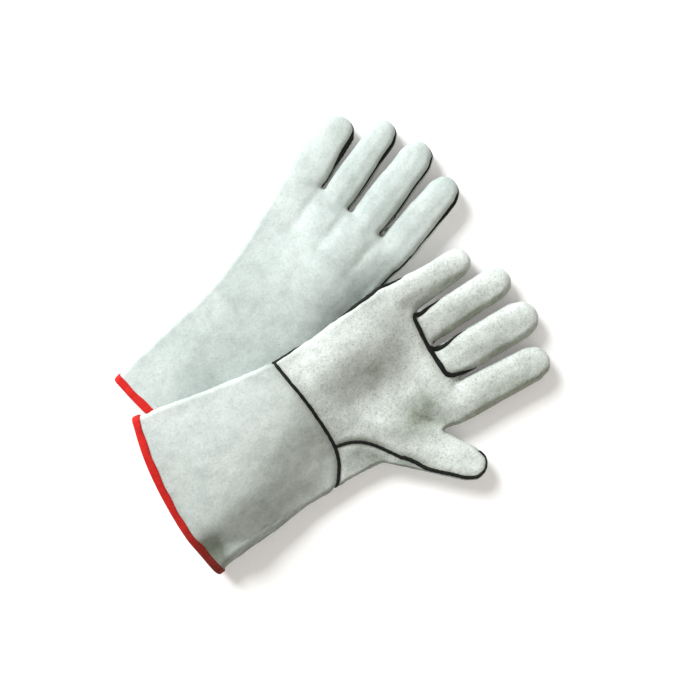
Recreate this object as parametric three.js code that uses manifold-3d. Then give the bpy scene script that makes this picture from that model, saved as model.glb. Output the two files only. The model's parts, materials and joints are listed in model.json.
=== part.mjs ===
// A pair of gauntlet welding gloves in split leather, laid on a table with the right glove on the left one.
// Millimetres, +Z up, the table at z = 0. +X is midway between the directions in which the two gloves point.
//
// Each glove is drawn in a plan of its own: x from the hem to the fingertips, +y towards the little finger.
// The right glove lies palm up and the left one palm down, so one plan serves both, turned over.
// A glove is a set of soft tubes (cuff and hand, four fingers, thumb) joined into one skin. The skin is made at
// several depths, and each sewn piece is what lies between two depths inside its own stretch of the plan.
import * as THREE from "three";
import { mergeVertices } from "three/addons/utils/BufferGeometryUtils.js";
import Module from "manifold-3d";

const wasm = await Module();
wasm.setup();

// ---------------------------------------------------------------- driving dimensions
const HEADING = 11; // degrees between each glove and +X
const LEFT_SCALE = 0.94; // the palm-down glove lies a little bunched, and is shorter and narrower in plan
const LEFT_HEM = new THREE.Vector2(37.5, 39.8); // middle of the left hem, from the middle of the right one

const LEATHER = 1.5; // thickness of the split leather
const LINING = 1.8; // thickness of the cotton lining
const GAP = 0.3; // between neighbouring pieces
const WELT = 2.0; // width of a piping strip
const WELT_PROUD = 0.8; // how far piping stands out of the leather
const BINDING = 1.2; // thickness of the hem tape
const BINDING_WIDTH = 7;
const SLIVER = 0.01; // edges shorter than this are closed up after a cut

const HINGE_X = 263; // line across the finger roots
const SIDE_WELT_FROM = 136; // piping runs up the little finger's side from the wrist
const MIDDLE_HEIGHT = 11.5; // of the glove's middle above what it lies on

// How far behind the middle of hand and finger the side seams lie, and how much more per millimetre towards the
// little finger. The gloves lie a little rolled, so their seams slope.
const SIDE_SEAM = {
  left: { hand: 1, hand_slope: -0.054, finger: 1, finger_slope: -0.26 },
  right: { hand: 0.5, hand_slope: -0.031, finger: 5.5, finger_slope: 0 },
};
const FINGER_SEAM_EASE = 12; // length over which a finger's seam leaves the hand's

// Cuff and hand: x, edge at the little finger's side, edge at the thumb's side, thickness.
const HAND = [
  [-20, 77, -77, 25],
  [30, 73.5, -72, 25],
  [64, 68.5, -68, 24.5],
  [100, 64, -62.5, 24],
  [138, 62.5, -59.5, 24.5],
  [174, 64.5, -61.5, 26],
  [208, 69.5, -60, 27],
  [242, 74, -62, 26],
  [256, 73.5, -64, 22],
  [261, 72, -63, 16.5],
];

// Fingers: middle of the root and of the tip in plan, widths there, thickness.
const FINGERS = {
  little: { root: [262, 57], tip: [327, 61.5], widths: [31.5, 25.5], thick: 21 },
  ring: { root: [262, 23.9], tip: [349.5, 29.8], widths: [29.5, 29], thick: 22.5 },
  middle: { root: [262, -11.3], tip: [355, -9], widths: [34, 33.5], thick: 23 },
  index: { root: [262, -47.5], tip: [345, -49], widths: [35, 31], thick: 23 },
};

// Thumbs: middle line as x, y, depth towards the palm, then width and thickness.
const OPEN_THUMB = [
  [176, -34, 0, 44, 22],
  [196, -50, 0, 47, 23],
  [212, -67, 0, 42, 22.5],
  [226, -83, 0, 36, 21.5],
  [240.5, -99.5, 0, 30, 19.5],
];
const TUCKED_THUMB = [
  [148, -30, 1, 34, 12],
  [160, -27, 12, 38, 16],
  [174, -22, 20.6, 40, 15.5],
  [198, -14, 24, 37, 15.5],
  [222, -7, 24.2, 32, 14.5],
];

// Plan of the right thumb's own stretch, from its crotch along the crease where it folds.
const THUMB_CREASE = { crotch: [230.5, -58], heel: [166, -67] };
const THUMB_OUTSIDE = [[150, -140], [290, -140], [262, -88], [239, -65.5]];
const THUMB_STRETCH = [THUMB_CREASE.crotch, THUMB_CREASE.heel, ...THUMB_OUTSIDE];
// The right thumb's seam is high along its outer edge, highest at the heel, and low in the crotch.
const THUMB_SIDE_SEAM = { height: 1, slope: 0.28, heel_rise: 5, heel_length: 35 };
// The left thumb's own stretch lies under the palm.
const TUCKED_STRETCH = { from_x: 176, to_x: 300, from_y: -60, to_y: 30, below_middle: 13.6 };
const TUCKED_SEAM_Z = 8;

const PALM_UP = 1;
const PALM_DOWN = -1;

// ---------------------------------------------------------------- seams in plan
// The wrist seam on the palm side bows towards the fingers, and turns back at the thumb.
const WRIST = { x: 145, y: -15, little_reach: 78, little_drop: 11, thumb_reach: 43, thumb_drop: 16 };
const WRIST_YS = [92, 62, 36, 10, -15, -30, -42, -51, -58, -66];
function wristSeamX(y) {
  const off = y - WRIST.y;
  return off > 0
    ? WRIST.x - WRIST.little_drop * (off / WRIST.little_reach) ** 2
    : WRIST.x - WRIST.thumb_drop * (-off / WRIST.thumb_reach) ** 3;
}
// Where the thumb's own leather is let into the palm.
const THUMB_SEAM = [[140, -27.5], [154, -29], [165, -34], [175, -43], [185, -57], [196, -72], [204, -84]];
const THUMB_SEAM_STEPS = 16;
const GUSSET = { from: [120, -28], to_x: 204 }; // its stretch of the plan, on the outer side of that seam
// The two middle fingers are sewn to the palm along this line.
const FINGER_BASE = { x: 259, from: 39, to: -29 };

// The hem bows outwards between its corners. The right one is cut a little askew.
const HEM = {
  left: { corner: 3, bow: 5, skew: 0 },
  right: { corner: 4, bow: 7.5, skew: 2.5 },
};
const HEM_HALF = 75;
const HEM_YS = [-150, -75, -50, -25, 0, 25, 50, 75, 150];
function hemX(side, y) {
  const { corner, bow, skew } = HEM[side];
  const across = THREE.MathUtils.clamp(y / HEM_HALF, -1, 1);
  return corner + skew * across - bow * (1 - across ** 2);
}

// ---------------------------------------------------------------- how each glove lies
const smooth = (t) => {
  const s = Math.min(1, Math.max(0, t));
  return s * s * (3 - 2 * s);
};

// The left palm rises over the thumb that is tucked under it.
const TUCK = { x: 203, y: -15, along: 74, across: 54, rise: 17 };
function leftLift(x, y) {
  return TUCK.rise * smooth(1 - Math.hypot((x - TUCK.x) / TUCK.along, (y - TUCK.y) / TUCK.across));
}

// The right glove climbs onto the left one. Its lift follows the distance to the left glove's outline.
const CLIMB = { rise: 28, from: 56, clear: 4, fade_from: 225, fade_to: 300 };
const radians = THREE.MathUtils.degToRad;

// The stiff cuff carries on past the left hem before it comes down, so the outline starts before that hem.
const LEFT_PLAN = [
  [-22, 75.5],
  [-22, -74.5],
  [56, -69],
  [120, -60],
  [200, -60],
  [262, -65],
  [345, -65],
  [345, 77],
  [200, 69],
  [120, 63],
];
const ORIGIN = new THREE.Vector2();
const LEFT_OUTLINE_FROM_RIGHT = LEFT_PLAN.map(([x, y]) =>
  new THREE.Vector2(x, y)
    .multiplyScalar(LEFT_SCALE)
    .rotateAround(ORIGIN, radians(HEADING))
    .add(LEFT_HEM)
    .rotateAround(ORIGIN, radians(HEADING)),
);

// Distance from a point to a closed outline, positive inside it.
function depthInside(outline, x, y) {
  let nearest = Infinity;
  let inside = false;
  outline.forEach((a, i) => {
    const b = outline[(i + 1) % outline.length];
    const edge = new THREE.Line3(new THREE.Vector3(a.x, a.y, 0), new THREE.Vector3(b.x, b.y, 0));
    const point = new THREE.Vector3(x, y, 0);
    nearest = Math.min(nearest, edge.closestPointToPoint(point, true, new THREE.Vector3()).distanceTo(point));
    if (a.y > y !== b.y > y && x < a.x + ((y - a.y) / (b.y - a.y)) * (b.x - a.x)) inside = !inside;
  });
  return inside ? nearest : -nearest;
}

function rightLift(x, y) {
  const depth = depthInside(LEFT_OUTLINE_FROM_RIGHT, x, y);
  const climb = smooth((depth + CLIMB.from) / (CLIMB.from - CLIMB.clear));
  const fade = 1 - smooth((x - CLIMB.fade_from) / (CLIMB.fade_to - CLIMB.fade_from));
  return CLIMB.rise * climb * fade;
}

const GLOVES = {
  left: { palm: PALM_DOWN, scale: LEFT_SCALE, lift: leftLift, thumb: TUCKED_THUMB },
  right: { palm: PALM_UP, scale: 1, lift: rightLift, thumb: OPEN_THUMB },
};

// ---------------------------------------------------------------- solids
function solidOf(geometry) {
  const bare = geometry.clone();
  bare.deleteAttribute("normal");
  bare.deleteAttribute("uv");
  const merged = mergeVertices(bare, 1e-4);
  return new wasm.Manifold(
    new wasm.Mesh({
      numProp: 3,
      vertProperties: merged.attributes.position.array,
      triVerts: new Uint32Array(merged.index.array),
    }),
  );
}

function geometryOf(solid) {
  const mesh = solid.simplify(SLIVER).getMesh();
  const geometry = new THREE.BufferGeometry();
  geometry.setAttribute("position", new THREE.BufferAttribute(new Float32Array(mesh.vertProperties), 3));
  geometry.setIndex(new THREE.BufferAttribute(new Uint32Array(mesh.triVerts), 1));
  geometry.computeVertexNormals();
  return geometry;
}

function movedPoints(geometry, move) {
  const position = geometry.attributes.position;
  for (let i = 0; i < position.count; i++) {
    const to = move(position.getX(i), position.getY(i), position.getZ(i));
    position.setXYZ(i, to.x, to.y, to.z);
  }
  return geometry;
}

// A closed tube through stations {x, y, depth, half, thick, turn}: a cylinder whose rings become flattened ovals.
const OVAL = 2.5; // 2 is an ellipse, and more is squarer
const HAND_SIDES = 16;
const FINGER_SIDES = 10;
function softTube(stations, radial, place) {
  const lengthwise = stations.length - 1;
  const geometry = new THREE.CylinderGeometry(1, 1, 1, radial, lengthwise);
  const bulge = (value) => Math.sign(value) * Math.abs(value) ** (2 / OVAL);
  return solidOf(
    movedPoints(geometry, (cx, cy, cz) => {
      const s = stations[Math.round((0.5 - cy) * lengthwise)];
      const across = s.half * bulge(cx);
      const depth = s.thick * bulge(cz);
      return place(s.x - across * Math.sin(s.turn), s.y + across * Math.cos(s.turn), s.depth + depth);
    }),
  );
}

// Everything up to a height that is a function of the plan.
const FAR = 400;
const BLOCK = { x: 165, long: 420, wide: 300, cells_x: 21, cells_y: 15 };
function upTo(height) {
  const geometry = new THREE.BoxGeometry(BLOCK.long, BLOCK.wide, 1, BLOCK.cells_x, BLOCK.cells_y, 1);
  geometry.translate(BLOCK.x, 0, 0);
  return solidOf(movedPoints(geometry, (x, y, z) => new THREE.Vector3(x, y, z > 0 ? height(x, y) : -FAR)));
}

// Everything above and below one outline in plan, run anticlockwise.
const COLUMN = { foot: -150, height: 400 };
function column(points) {
  const shape = new THREE.Shape(points.map(([x, y]) => new THREE.Vector2(x, y)));
  const geometry = new THREE.ExtrudeGeometry(shape, { depth: COLUMN.height, bevelEnabled: false });
  return solidOf(geometry.translate(0, 0, COLUMN.foot));
}

// A strip of the plan of the given width along a line.
function stripColumn(line, width) {
  const points = line.map(([x, y]) => new THREE.Vector2(x, y));
  const sides = [width / 2, -width / 2].map((off) =>
    points.map((p, i) => {
      const along = points[Math.min(i + 1, points.length - 1)].clone().sub(points[Math.max(i - 1, 0)]).normalize();
      return [p.x - along.y * off, p.y + along.x * off];
    }),
  );
  return column([...sides[1], ...sides[0].reverse()]);
}

const scaled = (points, scale) => points.map(([x, y]) => [x * scale, y * scale]);

// ---------------------------------------------------------------- one glove's skin at a given depth
function handStations(offset, scale) {
  return HAND.map(([x, little, thumb, thickness], i) => ({
    x: x * scale + (i === HAND.length - 1 ? offset : 0),
    y: ((little + thumb) / 2) * scale,
    depth: 0,
    half: ((little - thumb) / 2) * scale + offset,
    thick: thickness / 2 + offset,
    turn: 0,
  }));
}

const TIP_ANGLES = [0, 42, 74].map(radians);
const FINGER_START = -16; // a finger's tube starts this far inside the hand
const FINGER_TAPERS_OVER = 0.75; // of its length
const ROOT_NARROWING = 0.9;

function fingerStations({ root, tip, widths, thick }, offset, scale) {
  const from = new THREE.Vector2(...root).multiplyScalar(scale);
  const axis = new THREE.Vector2(...tip).multiplyScalar(scale).sub(from);
  const length = axis.length();
  const turn = axis.angle();
  const round = widths[1] * 0.5 * scale;
  const widthAt = (at) => {
    const share = THREE.MathUtils.clamp(at / (length * FINGER_TAPERS_OVER), 0, 1);
    return THREE.MathUtils.lerp(widths[0], widths[1], share) * scale;
  };
  const station = (at, share) => ({
    x: from.x + Math.cos(turn) * at,
    y: from.y + Math.sin(turn) * at,
    depth: 0,
    half: (widthAt(at) / 2 + offset) * share,
    thick: (thick / 2 + offset) * Math.sqrt(share),
    turn,
  });
  return [
    station(FINGER_START - offset, ROOT_NARROWING),
    station(0, 1),
    ...TIP_ANGLES.map((a) => station(length + offset - (round + offset) * (1 - Math.sin(a)), Math.cos(a))),
  ];
}

const THUMB_TIP_ROUND = 0.95; // its length against its half width
function thumbStations(line, offset, scale) {
  const points = line.map(([x, y]) => new THREE.Vector2(x, y).multiplyScalar(scale));
  const turns = points.map((p, i) => {
    const next = points[Math.min(i + 1, points.length - 1)];
    return next.clone().sub(points[Math.max(i - 1, 0)]).angle();
  });
  const body = line.map(([, , depth, width, thick], i) => ({
    x: points[i].x - (i === 0 ? offset : 0),
    y: points[i].y,
    depth,
    half: (width / 2) * scale + offset,
    thick: thick / 2 + offset,
    turn: turns[i],
  }));
  const last = body[body.length - 1];
  const round = last.half * THUMB_TIP_ROUND;
  const end = TIP_ANGLES.slice(1).map((a) => ({
    ...last,
    x: last.x + Math.cos(last.turn) * round * Math.sin(a),
    y: last.y + Math.sin(last.turn) * round * Math.sin(a),
    half: last.half * Math.cos(a),
    thick: last.thick * Math.sqrt(Math.cos(a)),
  }));
  return [...body, ...end];
}

function skinMaker(glove) {
  const middle = (x, y) => MIDDLE_HEIGHT + glove.lift(x / glove.scale, y / glove.scale);
  const made = new Map();
  return {
    middle,
    // The whole glove, grown by offset, resting on the table.
    at(offset) {
      if (made.has(offset)) return made.get(offset);
      const floor = Math.max(0, -offset);
      const place = (x, y, depth) => new THREE.Vector3(x, y, middle(x, y) + glove.palm * depth);
      // Turning a tube over also turns its faces inside out, so the oval is run the other way round.
      const facing = (stations) => stations.map((s) => ({ ...s, half: s.half * glove.palm }));
      const tube = (stations, radial) => softTube(facing(stations), radial, place);
      const hand = tube(handStations(offset, glove.scale), HAND_SIDES);
      const fingers = Object.values(FINGERS).map((f) => tube(fingerStations(f, offset, glove.scale), FINGER_SIDES));
      const thumb = tube(thumbStations(glove.thumb, offset, glove.scale), FINGER_SIDES);
      const joined = [...fingers, thumb].reduce((sum, part) => sum.add(part), hand);
      const whole = joined.subtract(upTo(() => floor));
      made.set(offset, whole);
      return whole;
    },
  };
}

// ---------------------------------------------------------------- materials
const leather = new THREE.MeshStandardMaterial({ color: 0xcfd5d1, roughness: 0.95, metalness: 0 });
const palmLeather = new THREE.MeshStandardMaterial({ color: 0xc9cdc6, roughness: 0.95, metalness: 0 });
const piping = new THREE.MeshStandardMaterial({ color: 0x161715, roughness: 0.55, metalness: 0 });
const binding = new THREE.MeshStandardMaterial({ color: 0xc4241b, roughness: 0.7, metalness: 0 });
const cotton = new THREE.MeshStandardMaterial({ color: 0xe4dfd2, roughness: 1, metalness: 0 });

// ---------------------------------------------------------------- seams and stretches of one glove
const EDGE = 150; // past the glove on either side
const BEFORE_HEM = -60;
const LITTLE_SIDE = { from_y: 0, to_y: EDGE };

function rectangle(fromX, toX, fromY, toY) {
  return column([[fromX, fromY], [toX, fromY], [toX, toY], [fromX, toY]]);
}

// How far behind the glove's middle a side seam lies. Past the hinge line each finger has a seam of its own.
function seamBehind(side, scale, finger) {
  const seam = SIDE_SEAM[side];
  return (x, y) => {
    const hand = seam.hand + (seam.hand_slope * y) / scale;
    if (!finger) return hand;
    const [rootX, rootY] = finger.root;
    const [tipX, tipY] = finger.tip;
    const middleY = THREE.MathUtils.lerp(rootY, tipY, (x / scale - rootX) / (tipX - rootX));
    const own = seam.finger + seam.finger_slope * (y / scale - middleY);
    return THREE.MathUtils.lerp(hand, own, smooth((x / scale - HINGE_X) / FINGER_SEAM_EASE));
  };
}

// Height of the right thumb's seam above the glove's middle.
function openThumbSeam(x, y) {
  const seam = THUMB_SIDE_SEAM;
  const foot = new THREE.Vector2(...OPEN_THUMB[0]);
  const axis = new THREE.Vector2(...OPEN_THUMB[OPEN_THUMB.length - 1]).sub(foot).normalize();
  const outwards = new THREE.Vector2(axis.y, -axis.x).dot(new THREE.Vector2(x, y).sub(foot));
  const heel = smooth(1 - (THUMB_CREASE.heel[1] - y) / seam.heel_length);
  return seam.height + seam.slope * outwards + seam.heel_rise * heel;
}

// The right thumb's stretch of the plan, moved out by grow on the side of its crease.
function openThumbColumn(grow) {
  const onCrease = (i) => i < 2 || i === THUMB_STRETCH.length - 1;
  return column(THUMB_STRETCH.map(([x, y], i) => [x, onCrease(i) ? y + grow : y]).reverse());
}

function tuckedThumbColumn(grow, skin, scale) {
  const { from_x, to_x, from_y, to_y, below_middle } = TUCKED_STRETCH;
  const below = upTo((x, y) => skin.middle(x, y) - below_middle + grow);
  return rectangle(from_x * scale - grow, to_x, from_y, to_y).intersect(below);
}

// A column round one finger, from the hinge line on.
const FINGER_CLEAR = 0.15;
const PAST_TIP = 10;
function fingerColumn({ root, tip, widths }, fromX, scale) {
  const a = new THREE.Vector2(...root).multiplyScalar(scale);
  const b = new THREE.Vector2(...tip).multiplyScalar(scale);
  const toX = b.x + PAST_TIP;
  const half = (widths[0] / 2 + WELT_PROUD + FINGER_CLEAR) * scale;
  const middleY = (x) => THREE.MathUtils.mapLinear(x, a.x, b.x, a.y, b.y);
  return column([
    [fromX, middleY(fromX) - half],
    [toX, middleY(toX) - half],
    [toX, middleY(toX) + half],
    [fromX, middleY(fromX) + half],
  ]);
}

// The biggest body of a solid: what a seam leaves of a neighbour is trimmed away.
function largest(solid) {
  return solid.decompose().sort((a, b) => b.volume() - a.volume())[0];
}

// ---------------------------------------------------------------- one glove's pieces
function gloveGroup(side) {
  const glove = GLOVES[side];
  const { palm, scale } = glove;
  const skin = skinMaker(glove);
  const group = new THREE.Group();
  const add = (name, solid, material) => {
    const mesh = new THREE.Mesh(geometryOf(solid), material);
    mesh.name = `${side}_${name}`;
    group.add(mesh);
  };

  const edge = LEATHER + GAP + LINING;
  const shell = skin.at(0).subtract(skin.at(-LEATHER));
  const weltRing = skin.at(WELT_PROUD).subtract(skin.at(-LEATHER));
  const liningShell = skin.at(-LEATHER - GAP).subtract(skin.at(-edge));

  // What lies on the palm's and on the back's side of a side seam, and the strip along it.
  const plain = GAP / 2;
  const piped = WELT / 2 + GAP;
  const sideSeam = (finger) => {
    const behind = seamBehind(side, scale, finger);
    const upToSeam = (rise) => upTo((x, y) => skin.middle(x, y) - palm * behind(x, y) + rise);
    const above = (solid, clear) => solid.subtract(upToSeam(clear));
    const below = (solid, clear) => solid.intersect(upToSeam(-clear));
    return {
      palmSide: palm === PALM_UP ? above : below,
      backSide: palm === PALM_UP ? below : above,
      strip: (solid) => solid.intersect(upToSeam(WELT / 2)).subtract(upToSeam(-WELT / 2)),
    };
  };
  const handSeam = sideSeam();

  // The hem, the hinge line, and the thumb's stretch.
  const hemLine = (clear) => HEM_YS.map((y) => [clear + hemX(side, y) * scale, y * scale]);
  const fromHem = (clear, toX) => column([[toX, -EDGE], [toX, EDGE], ...hemLine(clear).reverse()]);
  const hingeX = HINGE_X * scale;
  const thumbColumn = (grow) => (palm === PALM_UP ? openThumbColumn(grow) : tuckedThumbColumn(grow, skin, scale));
  const hand = fromHem(0, hingeX - plain).subtract(thumbColumn(GAP));
  const handOnly = (solid) => solid.intersect(hand);

  // Back: one piece of leather over cuff and hand. Only the little finger's side is piped, from the wrist on.
  const sideWeltX = SIDE_WELT_FROM * scale;
  const cuffStretchOfSeam = rectangle(BEFORE_HEM, sideWeltX, -EDGE, EDGE);
  const unpiped = cuffStretchOfSeam.add(rectangle(BEFORE_HEM, FAR, -EDGE, LITTLE_SIDE.from_y));
  const handLeather = handOnly(shell);
  const parted = (half) => half(handLeather, piped).add(half(handLeather, plain).intersect(unpiped));
  add("back_panel", parted(handSeam.backSide), leather);

  // Front: cuff, palm, and the gusset beside the thumb, parted by piping.
  const front = parted(handSeam.palmSide);
  const wristLine = WRIST_YS.map((y) => [wristSeamX(y) * scale, y * scale]);
  const wristEnds = [[wristLine[0][0], EDGE], ...wristLine, [wristLine[wristLine.length - 1][0], -EDGE]];
  const thumbLine = new THREE.SplineCurve(scaled(THUMB_SEAM, scale).map(([x, y]) => new THREE.Vector2(x, y)))
    .getPoints(THUMB_SEAM_STEPS)
    .map((p) => [p.x, p.y]);
  const baseLine = scaled([[FINGER_BASE.x, FINGER_BASE.from], [FINGER_BASE.x, FINGER_BASE.to]], scale);
  const slot = WELT + 2 * GAP;
  const wristSlot = stripColumn(wristEnds, slot);
  const thumbSlot = stripColumn(thumbLine, slot);
  const baseSlot = stripColumn(baseLine, slot);
  const cuffStretch = column([[BEFORE_HEM, EDGE], ...wristEnds, [BEFORE_HEM, -EDGE]].reverse());
  const [gussetX, gussetY] = GUSSET.from;
  const gussetSides = scaled([[GUSSET.to_x, -EDGE], [gussetX, -EDGE], [gussetX, gussetY]], scale);
  const gussetStretch = column([...thumbLine, ...gussetSides].reverse());
  const beyondWrist = front.subtract(cuffStretch).subtract(wristSlot);
  const gusset = beyondWrist.intersect(gussetStretch).subtract(thumbSlot);
  const palmPiece = beyondWrist.subtract(gussetStretch).subtract(thumbSlot).subtract(baseSlot);
  add("cuff_panel", largest(front.intersect(cuffStretch).subtract(wristSlot)), leather);
  add("thumb_gusset", largest(gusset), palmLeather);
  add("palm_panel", largest(palmPiece), palmLeather);

  // Piping. Each strip stands a little proud of the leather on both sides of it.
  const frontRing = handOnly(handSeam.palmSide(weltRing, piped));
  const beyondWristSlot = frontRing.subtract(cuffStretch).subtract(wristSlot);
  const littleSide = rectangle(sideWeltX + GAP, FAR, LITTLE_SIDE.from_y + GAP, LITTLE_SIDE.to_y);
  add("wrist_piping", largest(frontRing.intersect(stripColumn(wristEnds, WELT))), piping);
  add("thumb_piping", largest(beyondWristSlot.intersect(stripColumn(thumbLine, WELT))), piping);
  add("finger_base_piping", largest(beyondWristSlot.intersect(stripColumn(baseLine, WELT))), piping);
  add("side_piping", largest(handSeam.strip(handOnly(weltRing)).intersect(littleSide)), piping);

  // Lining of cuff and hand, and the tape folded over the hem.
  add("hand_lining", handOnly(liningShell), cotton);
  const covered = skin.at(GAP).subtract(skin.at(-edge - GAP)).intersect(fromHem(-GAP, FAR));
  const tape = skin.at(GAP + BINDING).subtract(skin.at(-edge - GAP - BINDING));
  const hemStretch = fromHem(-GAP - BINDING, FAR).subtract(fromHem(BINDING_WIDTH, FAR + 1));
  add("hem_binding", tape.intersect(hemStretch).subtract(covered), binding);

  // Fingers: back, front, the piping between them, and the lining stall.
  for (const [name, finger] of Object.entries(FINGERS)) {
    const stretch = fingerColumn(finger, hingeX + plain, scale);
    const own = (solid) => solid.intersect(stretch);
    const seam = sideSeam(finger);
    add(`${name}_back`, seam.backSide(own(shell), piped), leather);
    add(`${name}_front`, seam.palmSide(own(shell), piped), palmLeather);
    add(`${name}_piping`, seam.strip(own(weltRing)), piping);
    add(`${name}_lining`, own(liningShell), cotton);
  }

  // Thumb: the same four pieces.
  const thumbStretch = thumbColumn(0);
  const ownThumb = (solid) => solid.intersect(thumbStretch);
  const thumbSeam = palm === PALM_UP ? (x, y) => skin.middle(x, y) + openThumbSeam(x, y) : () => TUCKED_SEAM_Z;
  const upToThumbSeam = (rise) => upTo((x, y) => thumbSeam(x, y) + rise);
  const thumbStrip = ownThumb(weltRing).intersect(upToThumbSeam(WELT / 2)).subtract(upToThumbSeam(-WELT / 2));
  add("thumb_front", largest(ownThumb(shell).subtract(upToThumbSeam(piped))), palmLeather);
  add("thumb_back", largest(ownThumb(shell).intersect(upToThumbSeam(-piped))), leather);
  add("thumb_tip_piping", largest(thumbStrip), piping);
  add("thumb_lining", largest(ownThumb(liningShell)), cotton);
  return group;
}

// ---------------------------------------------------------------- the pair
const right = gloveGroup("right");
right.rotation.z = -radians(HEADING);
const left = gloveGroup("left");
left.rotation.z = radians(HEADING);
left.position.set(LEFT_HEM.x, LEFT_HEM.y, 0);

const pair = new THREE.Group();
pair.add(left, right);
pair.updateMatrixWorld(true);
const box = new THREE.Box3().setFromObject(pair, true);
const centre = box.getCenter(new THREE.Vector3());
pair.position.set(-centre.x, -centre.y, -box.min.z);

export default pair;
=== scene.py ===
"""A pair of gauntlet welding gloves in suede split leather, on a plain pale floor.

Each glove is one skin, remeshed from its solids, relaxed and shaped in code, with its seams drawn in. The
skin is then parted into the sewn pieces, each of which stands for its solid, with piping along the seams.
"""
import json
import math

import bmesh
import bpy
import numpy as np
from mathutils import Matrix, Vector
from mathutils import noise as solid_noise
from mathutils.bvhtree import BVHTree
from mathutils.kdtree import KDTree


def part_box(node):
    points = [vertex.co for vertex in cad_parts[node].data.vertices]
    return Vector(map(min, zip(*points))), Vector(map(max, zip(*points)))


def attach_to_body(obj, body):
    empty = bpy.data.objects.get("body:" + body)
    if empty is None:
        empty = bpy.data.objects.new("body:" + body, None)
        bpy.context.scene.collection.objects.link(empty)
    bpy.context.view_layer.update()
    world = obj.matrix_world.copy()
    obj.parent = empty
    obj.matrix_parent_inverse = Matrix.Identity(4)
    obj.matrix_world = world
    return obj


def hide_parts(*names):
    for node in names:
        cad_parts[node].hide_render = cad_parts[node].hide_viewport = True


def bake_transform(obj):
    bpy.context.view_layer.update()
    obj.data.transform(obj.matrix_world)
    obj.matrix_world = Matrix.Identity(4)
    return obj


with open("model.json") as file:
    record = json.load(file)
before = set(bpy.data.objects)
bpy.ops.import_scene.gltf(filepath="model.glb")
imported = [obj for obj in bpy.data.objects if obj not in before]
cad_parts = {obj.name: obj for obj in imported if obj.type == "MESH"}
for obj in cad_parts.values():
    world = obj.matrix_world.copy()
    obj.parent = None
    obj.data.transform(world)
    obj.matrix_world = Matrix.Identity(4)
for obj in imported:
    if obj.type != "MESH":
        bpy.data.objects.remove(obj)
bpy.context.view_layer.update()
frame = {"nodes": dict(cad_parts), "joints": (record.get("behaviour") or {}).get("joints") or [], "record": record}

MM = 0.001
VOXEL = 1.6 * MM  # of the remeshed skin
LINE_STEP = 1.6 * MM  # between the points of a seam
LEATHER = 1.4 * MM  # thickness of the leather
LINING_DEPTH = 1.7 * MM  # from the leather's outside to the lining
LINING = 1.6 * MM  # thickness of the lining
PIPING = 1.5 * MM  # half the width of a usual strip
FLOOR_GAP = 0.05 * MM
FINGERS = ["index", "middle", "ring", "little"]
PALM_SIDE_UP = {"left": -1, "right": 1}

# The gloves' plan, in millimetres of the right one: the finger roots' line, two fingers' middles and the hem.
HINGE_X = 263
LITTLE_Y = 57
MIDDLE_Y = -11.3
HEM_HALF = 75
HEM = {"left": (3, 5, 0), "right": (4, 7.5, 2.5)}  # corner, bow and skew
ABOVE_ALL = 0.2
BELOW_ALL = -0.1
BODIES = frame["record"]["behaviour"]["bodies"]


# ---------------------------------------------------------------- small helpers
def is_leather(node):
    return not node.endswith(("lining", "piping", "binding"))


def vertices_of(node):
    mesh = frame["nodes"][node].data
    co = np.empty(len(mesh.vertices) * 3)
    mesh.vertices.foreach_get("co", co)
    return co.reshape(-1, 3)


def body_of(node):
    return next(body for body, nodes in BODIES.items() if node in nodes)


def transformed(points, matrix):
    m = np.array(matrix)
    return np.asarray(points) @ m[:3, :3].T + m[:3, 3]


def smooth(t):
    t = np.clip(t, 0, 1)
    return t * t * (3 - 2 * t)


def unit(vectors):
    return vectors / np.maximum(np.linalg.norm(vectors, axis=-1, keepdims=True), 1e-12)


def new_object(name, co, faces, material=None):
    mesh = bpy.data.meshes.new(name)
    mesh.from_pydata([tuple(c) for c in co], [], [tuple(int(i) for i in f) for f in faces])
    mesh.polygons.foreach_set("use_smooth", [True] * len(mesh.polygons))
    mesh.update()
    obj = bpy.data.objects.new(name, mesh)
    bpy.context.scene.collection.objects.link(obj)
    if material:
        mesh.materials.append(material)
    return obj


def piece_object(name, co, faces, material):
    """A piece of the gloves, none of which reaches into the floor."""
    co = co.copy()
    co[:, 2] = np.maximum(co[:, 2], FLOOR_GAP)
    return new_object(name, co, faces, material)


def drop(obj):
    mesh = obj.data
    bpy.data.objects.remove(obj)
    bpy.data.meshes.remove(mesh)


def nearest_of(points):
    """A tree that finds the nearest of the points."""
    tree = KDTree(len(points))
    for number, point in enumerate(points):
        tree.insert(point, number)
    tree.balance()
    return tree


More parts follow.
